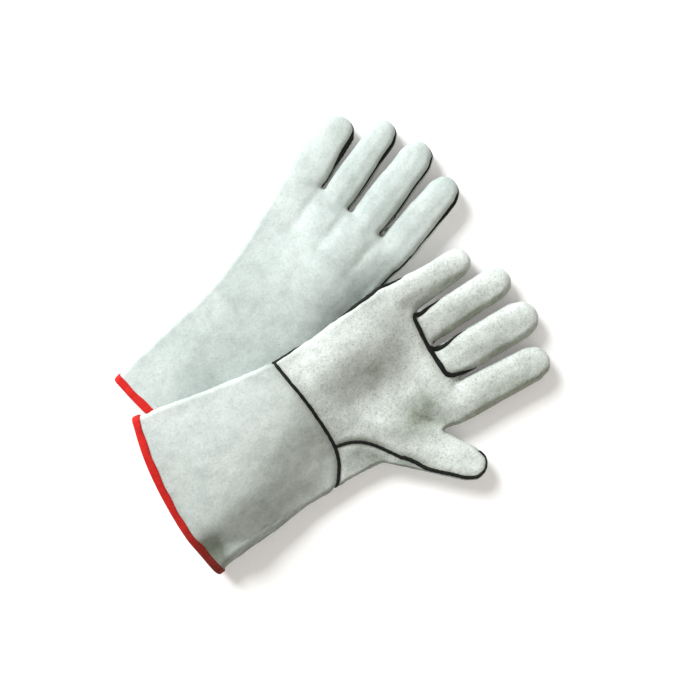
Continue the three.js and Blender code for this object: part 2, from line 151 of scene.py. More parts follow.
# ---------------------------------------------------------------- the gloves' own frames
class Glove:
    """A glove's plan: x from the hem to the fingertips, y towards the little finger, z up, in metres."""

    def __init__(self, side):
        self.side = side
        self.up = PALM_SIDE_UP[side]
        self.hinges = {j["child"]: j for j in frame["joints"] if j["child"].startswith(side)}
        middle = self.hinges[f"{side}_middle"]
        little = self.hinges[f"{side}_little"]
        across = -Vector(middle["axis"])
        along = Vector((across.y, -across.x, 0))
        apart = (Vector(little["pos_m"]) - Vector(middle["pos_m"])).dot(across)
        self.scale = apart / (LITTLE_Y - MIDDLE_Y) / MM
        self.hinge_x = HINGE_X * self.scale * MM
        origin = Vector(middle["pos_m"]) - along * self.hinge_x - across * MIDDLE_Y * self.scale * MM
        self.to_world = Matrix((along, across, (0, 0, 1))).transposed().to_4x4()
        self.to_world.translation = (origin.x, origin.y, 0)
        self.to_plan = self.to_world.inverted()
        self.leather = [n for n in frame["nodes"] if n.startswith(side) and is_leather(n)]
        self.linings = [n for n in frame["nodes"] if n.startswith(side) and n.endswith("lining")]

    def hem_x(self, y):
        """Where the hem's edge is, at a place across the glove in metres."""
        corner, bow, skew = HEM[self.side]
        across = np.clip(y / (HEM_HALF * self.scale * MM), -1, 1)
        return (corner + skew * across - bow * (1 - across**2)) * self.scale * MM

    def plan(self, points):
        return transformed(points, self.to_plan)

    def plan_mm(self, points):
        """The plan in millimetres of the right glove."""
        return self.plan(points) / self.scale / MM

    def world(self, points):
        return transformed(points, self.to_world)

    def direction(self, x, y):
        return np.array(self.to_world.to_3x3() @ Vector((x, y, 0)))

    def palm_line(self, points, tree):
        """A line on the skin through places given as x, y and height over the glove's middle, palm side up.

        Where a place is off the skin, the middle's height is that of the place before it.
        """
        line = []
        middle = None
        for x, y, height in points:
            place = self.to_world @ Vector((x * self.scale * MM, y * self.scale * MM, 0))
            above = tree.ray_cast(Vector((place.x, place.y, ABOVE_ALL)), Vector((0, 0, -1)))[0]
            below = tree.ray_cast(Vector((place.x, place.y, BELOW_ALL)), Vector((0, 0, 1)))[0]
            if above and below:
                middle = (above.z + below.z) / 2
            line.append((place.x, place.y, middle + height * MM * self.up))
        line = eased(resampled(line, LINE_STEP), 3)
        for _ in range(3):
            line = eased(on_skin(line, tree)[0], 2)
        return on_skin(line, tree)[0]


# ---------------------------------------------------------------- the skin of a glove
class Skin:
    """Arrays of a mesh of quads and triangles, with the neighbour averages used to relax it."""

    def __init__(self, co, faces):
        self.co = np.array(co, float)
        self.faces = [tuple(int(i) for i in f) for f in faces]
        self.corners = np.array([f if len(f) == 4 else (*f, f[2]) for f in self.faces])
        pairs = {}
        for number, face in enumerate(self.faces):
            for a, b in zip(face, face[1:] + face[:1]):
                pairs.setdefault((min(a, b), max(a, b)), []).append(number)
        self.edge_faces = pairs
        self.edges = np.array(list(pairs))
        self.degree = np.maximum(np.bincount(self.edges.ravel(), minlength=len(self.co)), 1)

    def average(self, values):
        a, b = self.edges.T
        total = [
            np.bincount(a, column[b], len(self.co)) + np.bincount(b, column[a], len(self.co))
            for column in np.atleast_2d(values.T)
        ]
        return (np.array(total) / self.degree).T.reshape(values.shape)

    def relax(self, rounds, factor=0.6, back=-0.62):
        """Smooths without shrinking, by going forward and back."""
        for _ in range(rounds):
            for step in (factor, back):
                self.co += step * (self.average(self.co) - self.co)

    def normals(self):
        normal = np.zeros_like(self.co)
        a = self.co[self.corners[:, 2]] - self.co[self.corners[:, 0]]
        b = self.co[self.corners[:, 3]] - self.co[self.corners[:, 1]]
        cross = np.cross(a, b)
        for k in range(4):
            for axis in range(3):
                normal[:, axis] += np.bincount(self.corners[:, k], cross[:, axis], len(self.co))
        return unit(normal)

    def centres(self):
        return self.co[self.corners].mean(axis=1)

    def tree(self):
        return BVHTree.FromPolygons(self.co.tolist(), self.faces)


def joined_solids(nodes):
    co = []
    faces = []
    for node in nodes:
        start = len(co)
        co.extend(vertices_of(node).tolist())
        faces.extend(tuple(start + i for i in p.vertices) for p in frame["nodes"][node].data.polygons)
    return np.array(co), faces


def hem_plug(glove):
    """The hull of the hem tape, which closes the cuff's mouth while the skin is made."""
    bm = bmesh.new()
    for point in vertices_of(f"{glove.side}_hem_binding"):
        bm.verts.new(point)
    made = bmesh.ops.convex_hull(bm, input=bm.verts)
    bmesh.ops.delete(bm, geom=made["geom_interior"], context="VERTS")
    bm.verts.index_update()
    co = np.array([v.co[:] for v in bm.verts])
    faces = [tuple(v.index for v in f.verts) for f in bm.faces]
    bm.free()
    return co, faces


def biggest_part(skin):
    """The outer surface alone: the remeshed solids also have an inner one."""
    label = np.arange(len(skin.co))
    while True:
        low = label.copy()
        np.minimum.at(low, skin.edges[:, 0], label[skin.edges[:, 1]])
        np.minimum.at(low, skin.edges[:, 1], label[skin.edges[:, 0]])
        low = low[low]
        if (low == label).all():
            break
        label = low
    names, counts = np.unique(label, return_counts=True)
    return kept(skin, label == names[counts.argmax()])


def kept(skin, keep):
    new = np.cumsum(keep) - 1
    faces = [tuple(new[i] for i in f) for f in skin.faces if all(keep[i] for i in f)]
    return Skin(skin.co[keep], faces)


def remeshed(co, faces):
    obj = new_object("raw", co, faces)
    modifier = obj.modifiers.new("voxels", "REMESH")
    modifier.mode = "VOXEL"
    modifier.voxel_size = VOXEL
    bpy.context.view_layer.update()
    mesh = bpy.data.meshes.new_from_object(obj.evaluated_get(bpy.context.evaluated_depsgraph_get()))
    out = np.empty(len(mesh.vertices) * 3)
    mesh.vertices.foreach_get("co", out)
    skin = Skin(out.reshape(-1, 3), [tuple(p.vertices) for p in mesh.polygons])
    bpy.data.meshes.remove(mesh)
    drop(obj)
    return skin


# The grid in plan on which the leather is levelled.
GRID = 2.5 * MM
GRID_SPAN = (0.42, 0.28)
GRID_START = (0.03, 0.14)  # how far it starts before the plan's origin
BLOCK = 4  # cells along the side of a block, in which the outermost leather is looked for
OUTER_DEPTH = 9 * MM  # what lies deeper than this under the outermost leather isn't part of it
LEVEL_WIDTH = 14 * MM
LEVEL_PASSES = 3  # each puts back the broad shape that the one before took off
LEVEL_END = 2 * MM  # before the fingers' roots, with the ramp to full strength
LEVEL_RAMP = 22 * MM
FLOOR_CONTACT = 1.5 * MM  # lower leather lies on the floor and stays, with the ramp above it
FLOOR_RAMP = 3 * MM


def blurred(grid, sigma):
    """A grid blurred by a bell curve of that width, in cells."""
    reach = int(3 * sigma)
    bell = np.exp(-((np.arange(-reach, reach + 1) / sigma) ** 2) / 2)
    bell /= bell.sum()
    for axis in (0, 1):
        grid = np.apply_along_axis(lambda row: np.convolve(row, bell, "same"), axis, grid)
    return grid


def level(glove, skin):
    """Takes the broad facets out of the upper and under side of cuff and hand, by height only."""
    plan = glove.plan(skin.co)
    upward = skin.normals()[:, 2]
    size = (int(GRID_SPAN[0] / GRID), int(GRID_SPAN[1] / GRID))
    cells = size[0] * size[1]
    column = ((plan[:, 0] + GRID_START[0]) / GRID, (plan[:, 1] + GRID_START[1]) / GRID)
    i = np.clip(column[0].astype(int), 0, size[0] - 1)
    j = np.clip(column[1].astype(int), 0, size[1] - 1)
    cell = i * size[1] + j
    block = (i // BLOCK) * size[1] + j // BLOCK
    hand_only = smooth((glove.hinge_x - LEVEL_END - plan[:, 0]) / LEVEL_RAMP)
    for facing in (1, -1):
        height = skin.co[:, 2].copy()
        furthest = np.full(cells, -1.0)
        np.maximum.at(furthest, block, height * facing)
        outermost = height * facing > furthest[block] - OUTER_DEPTH
        weight = smooth((upward * facing - 0.35) / 0.45) * outermost
        if facing < 0:
            weight *= smooth((height - FLOOR_CONTACT) / FLOOR_RAMP)
        mass = np.bincount(cell, weight, cells).reshape(size)
        blurred_mass = np.maximum(blurred(mass, LEVEL_WIDTH / GRID), 1e-9)
        smoothed = np.zeros_like(height)
        for _ in range(LEVEL_PASSES):
            rest = height - smoothed
            total = np.bincount(cell, weight * rest, cells).reshape(size)
            smoothed += sampled(blurred(total, LEVEL_WIDTH / GRID) / blurred_mass, column)
        skin.co[:, 2] += weight * hand_only * (smoothed - height)


def sampled(field, column):
    """The grid's value between its cells."""
    x = np.clip(column[0] - 0.5, 0, field.shape[0] - 1.001)
    y = np.clip(column[1] - 0.5, 0, field.shape[1] - 1.001)
    i, j = x.astype(int), y.astype(int)
    u, v = x - i, y - j
    low = field[i, j] * (1 - v) + field[i, j + 1] * v
    high = field[i + 1, j] * (1 - v) + field[i + 1, j + 1] * v
    return low * (1 - u) + high * u


# Broad forms of the leather that lies up: x, y, length, width in mm, turn in degrees, rise in mm.
FORMS = {
    "right": [
        (215, 35, 45, 26, 0, 2.0),  # heel of the hand below the little finger
        (205, -8, 34, 26, 20, -2.6),  # hollow of the palm
        (186, -32, 34, 15, -38, 2.6),  # ball of the thumb
        (222, -46, 20, 9, -28, -2.4),  # crease running in from the thumb's crotch
        (227, -50, 9, 3, -58, -2.0),  # its sharp middle
        (246, -44, 16, 16, 0, 1.6),  # pad below the index finger
        (250, 8, 10, 40, 0, 1.2),  # pad below the other fingers
        (13, -52, 10, 9, 0, -4.5),  # dent by the hem, and a ridge beside it
        (28, -64, 13, 5, 0, 3.2),
        (60, 10, 40, 26, 10, 1.2),  # fullness of the cuff
        (100, -34, 30, 18, -20, 1.0),
        (146, 0, 8, 46, -6, -1.2),  # wrist
    ],
    "left": [
        (242, 40, 26, 4.5, 4, -1.6),  # valleys between the knuckles
        (242, 8, 26, 4.5, 2, -1.6),
        (242, -29, 26, 4.5, -2, -1.6),
        (236, 57, 20, 12, 0, 1.0),  # the knuckles
        (238, 23, 20, 12, 0, 1.2),
        (238, -10, 20, 12, 0, 1.2),
        (238, -48, 20, 12, 0, 1.0),
        (196, -40, 40, 16, -8, 1.5),  # back of the thumb's root
        (150, 10, 24, 50, 0, -1.4),  # wrist
        (60, 30, 46, 22, 6, 1.2),  # fullness and hollow of the cuff
        (36, -20, 20, 30, 0, -1.2),
    ],
}
UNDULATIONS = ((34 * MM, 0.9 * MM), (13 * MM, 0.34 * MM), (6 * MM, 0.13 * MM))  # size and height


# Where soil and painted shade darken the leather, in the same terms, with how much instead of the rise.
SOIL_AND_SHADE = {
    "right": [
        (226, -36, 24, 18, 0, 1.1),  # palm: painted shade in and about the crease, and soil
        (238, -55, 14, 8, 10, 0.5),
        (218, 2, 26, 20, 0, 0.2),
        (196, -44, 26, 12, -30, 0.5),
        (10, -55, 12, 11, 0, 1.7),  # cuff: painted shade and a stain in the dent, painted shade along its lower edge
        (50, -71, 44, 5, 2, 0.6),
        (110, -64, 40, 5, 6, 0.5),
        (166, -54, 22, 14, -40, 0.7),  # thumb: painted shade on its lower side
        (196, -72, 22, 7, -25, 0.7),
        (300, -62, 44, 10, 0, 0.8),  # painted shade on the fingers' thumb-side halves, from the index finger on
        (304, -46, 42, 15, 0, 0.5),
        (304, -19, 42, 7, 0, 0.3),
        (304, -9, 40, 14, 0, 0.6),
        (302, 15, 42, 7, 0, 0.25),
        (304, 25, 38, 14, 0, 0.5),
        (300, 50, 38, 7, 0, 0.25),
        (300, 60, 36, 12, 0, 0.2),
    ],
    "left": [(100, 0, 130, 110, 0, 0.27)],
}
SIDE_SHADE = {"right": 0.75, "left": 0.04}  # painted shade on all sides that face the thumb's edge, away from the key light
# Painted shade on the hem tape, towards its end at the cuff's lower corner.
TAPE_SHADE = {"right": [(0, -78, 60, 46, 0, 0.95)], "left": [(0, -70, 40, 30, 0, 0.2)]}


def spread_of(glove, co, spots):
    """The sum of round-edged spots, at places given in the world."""
    plan = glove.plan_mm(co)
    total = np.zeros(len(plan))
    for x, y, length, width, turn, height in spots:
        cos = math.cos(math.radians(turn))
        sin = math.sin(math.radians(turn))
        along = (plan[:, 0] - x) * cos + (plan[:, 1] - y) * sin
        across = (plan[:, 1] - y) * cos - (plan[:, 0] - x) * sin
        total += height * np.exp(-((along / length) ** 2) - (across / width) ** 2)
    return total


def shape_forms(glove, skin):
    """Raises the broad forms on the upper side, and waves the whole skin a little."""
    facing_up = smooth((skin.normals()[:, 2] - 0.1) / 0.6)
    skin.co[:, 2] += facing_up * spread_of(glove, skin.co, FORMS[glove.side]) * MM
    normals = skin.normals()
    seed = Vector((3.1 * glove.up, 7.7, 1.3))  # so that the two gloves differ
    for size, height in UNDULATIONS:
        waves = np.array([solid_noise.noise(Vector(c) / size + seed) for c in skin.co])
        skin.co += normals * (waves * height)[:, None]
    skin.co[:, 2] = np.maximum(skin.co[:, 2], 2 * FLOOR_GAP)


# Where the leather stands out sideways beyond the solids: x, y, length, width, and how far, in mm.
FULLER = {
    "left": [(290, 76, 34, 16, 6.5), (60, 70, 60, 16, 3.2)],
    "right": [(60, 72, 60, 16, 2.2)],
}
ROOT_FULLNESS = {"left": 1.1 * MM, "right": 0}
ROOT_STRETCH = (262, 8, 30, 318)  # of the fingers: its start, the ramp up, the ramp down and its end, in mm


def filled_out(glove, skin):
    """Widens the little finger's side of the gloves, and narrows the left one's gaps at the finger roots."""
    plan = glove.plan(skin.co)
    x = plan[:, 0] / glove.scale / MM
    y = plan[:, 1] / glove.scale / MM
    for middle_x, middle_y, length, width, height in FULLER[glove.side]:
        past_end = np.maximum(np.abs(x - middle_x) - length * 0.5, 0)
        along = np.exp(-((past_end / (length * 0.7)) ** 2))
        outward = smooth((y - middle_y + 1.5 * width) / (1.5 * width))
        plan[:, 1] += along * outward * height * MM
    skin.co = glove.world(plan)
    sideways = skin.normals()
    sideways[:, 2] = 0
    start, ramp_up, ramp_down, end = ROOT_STRETCH
    near_root = smooth((x - start) / ramp_up) * smooth((end - x) / ramp_down)
    skin.co += sideways * (near_root * ROOT_FULLNESS[glove.side])[:, None]


FIRST_RELAX = 48
LAST_RELAX = 8


def glove_skin(glove):
    """One closed skin round all of a glove's solids."""
    co, faces = joined_solids(glove.leather + glove.linings)
    plug_co, plug_faces = hem_plug(glove)
    faces += [tuple(len(co) + i for i in f) for f in plug_faces]
    skin = biggest_part(remeshed(np.vstack([co, plug_co]), faces))
    skin.relax(FIRST_RELAX)
    level(glove, skin)
    filled_out(glove, skin)
    skin.relax(LAST_RELAX)
    shape_forms(glove, skin)
    return skin


# ---------------------------------------------------------------- which piece each face belongs to
def labels_of(skin, nodes):
    """For each face, the number in nodes of the solid that it is nearest to."""
    co, faces = joined_solids(nodes)
    owner = np.concatenate([[k] * len(frame["nodes"][n].data.polygons) for k, n in enumerate(nodes)])
    tree = BVHTree.FromPolygons(co.tolist(), faces)
    found = [tree.find_nearest(Vector(c))[2] for c in skin.centres()]
    return owner[np.array(found)]


def chains(skin, labels, nodes, pairs):
    """The lines along which faces of two pieces meet, as arrays of points, the longest first."""
    wanted = {frozenset((nodes.index(a), nodes.index(b))) for a, b in pairs}
    links = {}
    for (a, b), faces in skin.edge_faces.items():
        if len(faces) == 2 and frozenset(int(labels[f]) for f in faces) in wanted:
            links.setdefault(a, []).append(b)
            links.setdefault(b, []).append(a)
    lines = []
    seen = set()
    ends = [v for v in links if len(links[v]) == 1] + list(links)
    for start in ends:
        if start in seen:
            continue
        line = [start]
        seen.add(start)
        while True:
            onward = [v for v in links[line[-1]] if v not in seen]
            if not onward:
                break
            line.append(onward[0])
            seen.add(onward[0])
        closed = len(line) > 20 and line[0] in links[line[-1]]
        lines.append((skin.co[line], closed))
    lines.sort(key=lambda item: -len(item[0]))
    return lines


def resampled(points, spacing, closed=False):
    points = np.asarray(points)
    if closed:
        points = np.vstack([points, points[:1]])
    steps = np.linalg.norm(np.diff(points, axis=0), axis=1)
    along = np.concatenate([[0], np.cumsum(steps)])
    count = max(3, int(round(along[-1] / spacing)))
    at = np.linspace(0, along[-1], count + 1)
    out = np.column_stack([np.interp(at, along, points[:, k]) for k in range(3)])
    return out[:-1] if closed else out


def eased(points, rounds, closed=False):
    """A line with its steps smoothed out; an open line's ends stay where they are."""
    points = points.copy()
    for _ in range(rounds):
        if closed:
            points = (points + (np.roll(points, 1, 0) + np.roll(points, -1, 0)) / 2) / 2
        else:
            points[1:-1] = points[1:-1] / 2 + (points[2:] + points[:-2]) / 4
    return points


def on_skin(points, tree, lift=0.0):
    """Each point moved to the nearest place on the skin, and the skin's normals there."""
    hits = [tree.find_nearest(Vector(p)) for p in points]
    places = np.array([h[0][:] for h in hits])
    normals = np.array([h[1][:] for h in hits])
    return places + normals * lift, normals


SEAM_OVERRUN = 2 * MM  # by which a seam runs on at both ends, to meet the next strip
SEAM_EASE = 40


def seam_line(points, tree, closed):
    line = eased(resampled(points, LINE_STEP, closed), SEAM_EASE, closed)
    if not closed:
        first = line[0] + unit(line[0] - line[3]) * SEAM_OVERRUN
        last = line[-1] + unit(line[-1] - line[-4]) * SEAM_OVERRUN
        line = np.vstack([first, line, last])
    return on_skin(line, tree)[0]


# ---------------------------------------------------------------- seams of one glove
THUMB_TIP_END = 5  # steps of the skin from the tip to where the strip ends
THUMB_TIP_RISE = 4 * MM
ROLLED = (148, 218, 18)  # where the little finger's edge rolls under: from, to, and the ramps, in mm
ROLLED_DEPTH = 5 * MM


def outer_part(glove, points):
    """The thumb's seam from its outer side to the inner corner of its tip, where the strip ends."""
    plan = glove.plan(points)
    if plan[0, 1] > plan[-1, 1]:
        points = points[::-1]
        plan = plan[::-1]
    return points[: plan[:, 0].argmax() + THUMB_TIP_END]


def raised(line, tree):
    """The thumb's strip climbs from its side at the crease to the upper side of its tip."""
    line = line.copy()
    line[:, 2] += THUMB_TIP_RISE * smooth(np.linspace(0, 2, len(line)))
    return on_skin(line, tree)[0]


def rolled_under(glove, line, tree):
    """The side strip sinks out of sight where the leather rolls over it."""
    start, end, ramp_length = ROLLED
    plan = glove.plan_mm(line)
    x = plan[:, 0]
    sunk = smooth((x - start) / ramp_length) * smooth((end - x) / ramp_length) * (plan[:, 1] > 0)
    line = line.copy()
    line[:, 2] -= sunk * ROLLED_DEPTH
    return on_skin(line, tree)[0]


# The strip under the two middle fingers, as x, y and height over the glove's middle, in mm: up the side of
# the ring finger, along the base of both, and up the side of the middle finger. Another branch parts the two.
FINGER_BASE = [
    (286, 38.8, 0),
    (277, 39.2, 4),
    (269, 39.4, 7),
    (263, 39.0, 10),
    (259, 37.6, 12),
    (258.3, 34, 12),
    (258.3, 0, 12),
    (258.3, -17, 12),
    (259.3, -21.4, 12),
    (263, -24.6, 10),
    (269, -26.4, 8),
    (277, -27.2, 5),
    (286, -28, 0),
]
FINGER_BRANCH = [(258.3, 7, 12), (263, 6.6, 12), (270, 5.8, 9), (279, 5.4, 5), (290, 5.4, 0)]
INDEX_SIDE_FROM = 212  # on the index finger's side the strip runs back to here
LITTLE_SIDE_Y = 40  # past this a seam is on the little finger's side
INDEX_SIDE_Y = -40
CROTCH_X = 247  # past this it is between two fingers
SIDE_LINES = 6  # at most
SHORTEST = 12  # points in a line that is taken as a seam
SHORTEST_CROTCH = 8
LONG = {"little side": 30, "index side": 20, "ahead": 10}  # a longer line than this counts


def side_lines(glove, lines):
    """Of the lines between back and palm, those that are piped."""
    taken = []
    for points, closed in lines:
        plan = glove.plan_mm(points)
        on_little_side = plan[:, 1].mean() > LITTLE_SIDE_Y and len(points) > LONG["little side"]
        in_crotch = plan[:, 0].min() > CROTCH_X and len(points) >= SHORTEST_CROTCH
        if on_little_side or in_crotch:
            taken.append((points, closed))
        elif len(points) > LONG["index side"] and plan[:, 1].mean() < INDEX_SIDE_Y:
            ahead = plan[:, 0] > INDEX_SIDE_FROM
            if ahead.sum() > LONG["ahead"]:
                taken.append((points[ahead], False))
    return taken


def glove_seams(glove, skin, labels):
    """The piped seams: piping's node name to its lines on the skin."""
    side = glove.side
    tree = skin.tree()
    seams = {}

    def between(*pairs):
        named = [(f"{side}_{a}", f"{side}_{b}") for a, b in pairs]
        return chains(skin, labels, glove.leather, named)

    def take(node, lines, most=1, shortest=SHORTEST, shaped=lambda line: line):
        for points, closed in lines[:most]:
            if len(points) >= shortest:
                line = shaped(seam_line(points, tree, closed))
                seams.setdefault(f"{side}_{node}", []).append((line, closed))

    take("wrist_piping", between(("cuff_panel", "palm_panel"), ("cuff_panel", "thumb_gusset")))
    take("thumb_piping", between(("thumb_gusset", "palm_panel")))
    tip_lines = between(("thumb_front", "thumb_back"))
    sides = side_lines(glove, between(("back_panel", "palm_panel")))
    if side == "right":
        tip_lines = [(outer_part(glove, points), closed) for points, closed in tip_lines]
        take("thumb_tip_piping", tip_lines, shaped=lambda line: raised(line, tree))
        take("side_piping", sides, SIDE_LINES, SHORTEST_CROTCH, lambda line: rolled_under(glove, line, tree))
    else:
        take("thumb_tip_piping", tip_lines)
        take("side_piping", sides, SIDE_LINES, SHORTEST_CROTCH)
    for finger in FINGERS:
        take(f"{finger}_piping", between((f"{finger}_back", f"{finger}_front")))
    base = [(glove.palm_line(points, tree), False) for points in (FINGER_BASE, FINGER_BRANCH)]
    seams[f"{side}_finger_base_piping"] = base
    return seams


GROOVE = 1.0 * MM
GROOVE_WIDTH = 2.4 * MM
SWELL = 0.45 * MM
SWELL_AT = 6.5 * MM  # from the seam
SWELL_WIDTH = 3 * MM


def carve(skin, seams):
    """Pulls the leather in along each seam and lets it swell beside it."""
    tree = nearest_of(np.vstack([line for lines in seams.values() for line, _ in lines]))
    distance = np.array([tree.find(Vector(c))[2] for c in skin.co])
    groove = -GROOVE * np.exp(-((distance / GROOVE_WIDTH) ** 2))
    swell = SWELL * np.exp(-(((distance - SWELL_AT) / SWELL_WIDTH) ** 2))
    skin.co += skin.normals() * (groove + swell)[:, None]
    return distance


# Widths of the strips, as parts of the usual one, and the places where they change, in mm.
BASE_STRIP = 1.55  # along the fingers' base
BASE_STRIP_SIDE = 0.7  # up the fingers' sides
THUMB_TIP_STRIP = 1.2
WIDER_SIDE = 0.6  # added to the right side strip by the little finger's root
THIN_STRIP = 0.7  # on the left glove
ROOT_STRIP = 0.35  # between the fingers' roots
TIP_SWELL = {"little": 1.5, "ring": 0.9, "middle": 0.1, "index": 0.8}  # near the left fingertips, added


def strip_width(glove, node, line):
    """The strip's width along a line, as a part of the usual one."""
    plan = glove.plan_mm(line)
    x = plan[:, 0]
    y = plan[:, 1]
    part = node.split("_")[1]
    if part == "finger":
        return BASE_STRIP - (BASE_STRIP - BASE_STRIP_SIDE) * smooth((x - 266) / 18)
    if part == "side" and x.min() > CROTCH_X:
        return np.full(len(line), ROOT_STRIP)
    if node.startswith("right_side"):
        return 1 + WIDER_SIDE * smooth((x - 208) / 8) * smooth((256 - x) / 8) * (y > 0)
    if node == "right_thumb_tip_piping":
        return np.full(len(line), THUMB_TIP_STRIP)
    if node.startswith("left_side"):
        return np.full(len(line), THIN_STRIP)
    if glove.side == "right" or part not in TIP_SWELL:
        return np.ones(len(line))
    plain = ROOT_STRIP + (THIN_STRIP - ROOT_STRIP) * smooth((x - 280) / 14)
    from_tip = x.max() - x
    near_tip = smooth((from_tip - 4) / 8) * smooth((46 - from_tip) / 22)
    on_thumb_side = smooth((y[x.argmax()] - y - 3) / 5)
    return plain + TIP_SWELL[part] * near_tip * on_thumb_side


WOBBLE = 0.07  # of a strip's radius
WOBBLE_PER_STEP = 0.83
WOBBLE_PER_METRE = 900
BLUNT_END = 0.5  # an end's radius, as a part of the strip's


def swept(line, closed, radius, normals, flat=1.0, sides=10):
    """A round cord along a line, as vertices and faces, closed at its ends."""
    ahead = np.roll(line, -1, 0) - np.roll(line, 1, 0)
    if not closed:
        ahead[0] = line[1] - line[0]
        ahead[-1] = line[-1] - line[-2]
    ahead = unit(ahead)
    across = unit(np.cross(normals, ahead))
    out = np.cross(ahead, across)
    wobble = 1 + WOBBLE * np.sin(np.arange(len(line)) * WOBBLE_PER_STEP + line[:, 0] * WOBBLE_PER_METRE)
    co = []
    for k in range(sides):
        angle = 2 * math.pi * k / sides
        spoke = across * math.cos(angle) + out * math.sin(angle) * flat
        co.append(line + spoke * (radius * wobble)[:, None])
    co = np.stack(co, axis=1)
    if not closed:
        for end in (0, -1):
            co[end] = line[end] + (co[end] - line[end]) * BLUNT_END
    count = len(line)
    faces = []
    for i in range(count if closed else count - 1):
        j = (i + 1) % count
        for k in range(sides):
            m = (k + 1) % sides
            faces.append((i * sides + k, i * sides + m, j * sides + m, j * sides + k))
    if not closed:
        faces.append(tuple(range(sides))[::-1])
        faces.append(tuple((count - 1) * sides + k for k in range(sides)))
    return co.reshape(-1, 3), faces


def joined(parts):
    co = []
    faces = []
    start = 0
    for points, polygons in parts:
        co.append(points)
        faces += [tuple(start + i for i in f) for f in polygons]
        start += len(points)
    return np.vstack(co), faces


# ---------------------------------------------------------------- pieces
def shell(skin, normals, chosen, depth, thickness):
    """The chosen faces as a closed shell between two depths under the skin.

    Gives its points, faces and point normals, and how many faces come before those of the rim.
    """
    faces = [skin.faces[f] for f in chosen]
    used = sorted({i for f in faces for i in f})
    new = {old: k for k, old in enumerate(used)}
    count = len(used)
    outer = skin.co[used] - normals[used] * depth
    inner = skin.co[used] - normals[used] * (depth + thickness)
    top = [tuple(new[i] for i in f) for f in faces]
    under = [tuple(count + i for i in f[::-1]) for f in top]
    edges = {}
    for face in top:
        for edge in zip(face, face[1:] + face[:1]):
            edges[edge] = True
    rim = [(b, a, a + count, b + count) for a, b in edges if (b, a) not in edges]
    own = normals[used]
    return np.vstack([outer, inner]), top + under + rim, np.vstack([own, -own]), len(top) + len(under)


def set_shade(mesh, name, values):
    layer = mesh.attributes.new(name, "FLOAT", "POINT")
    layer.data.foreach_set("value", values.astype(np.float32))


def shell_object(name, skin, normals, chosen, depth, thickness, material, shades=None):
    """A shell that is shaded by the skin's normals, with a sharp rim."""
    co, faces, vertex_normals, smooth_faces = shell(skin, normals, chosen, depth, thickness)
    obj = piece_object(name, co, faces, material)
    mesh = obj.data
    used = sorted({i for f in chosen for i in skin.faces[f]})
    for shade, value in (shades or {}).items():
        set_shade(mesh, shade, np.concatenate([value[used], value[used]]))
    loops = np.empty(len(mesh.loops), int)
    mesh.loops.foreach_get("vertex_index", loops)
    custom = vertex_normals[loops]
    rim = mesh.polygons[smooth_faces:]
    if rim:
        custom[rim[0].loop_start :] = np.repeat([p.normal[:] for p in rim], 4, axis=0)
    mesh.normals_split_custom_set(custom.tolist())
    return obj


def attach(obj, glove, node):
    """The piece on the hand follows the hand's body; any other piece only has its transform baked in."""
    body = body_of(node)
    hand = f"{glove.side}_hand"
    if body == hand:
        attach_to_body(obj, hand)
        return
    joint = glove.hinges[body]
    axis = Vector(joint["axis"])
    away = Vector((axis.y, -axis.x, 0))
    hinge = Vector(joint["pos_m"])
    box_low, box_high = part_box(node)
    centre = (box_low + box_high) / 2
    if (centre - hinge).dot(away) < 0:
        away = -away
    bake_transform(obj)


def stand_for(obj, glove, *nodes):
    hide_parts(*nodes)
    attach(obj, glove, nodes[0])


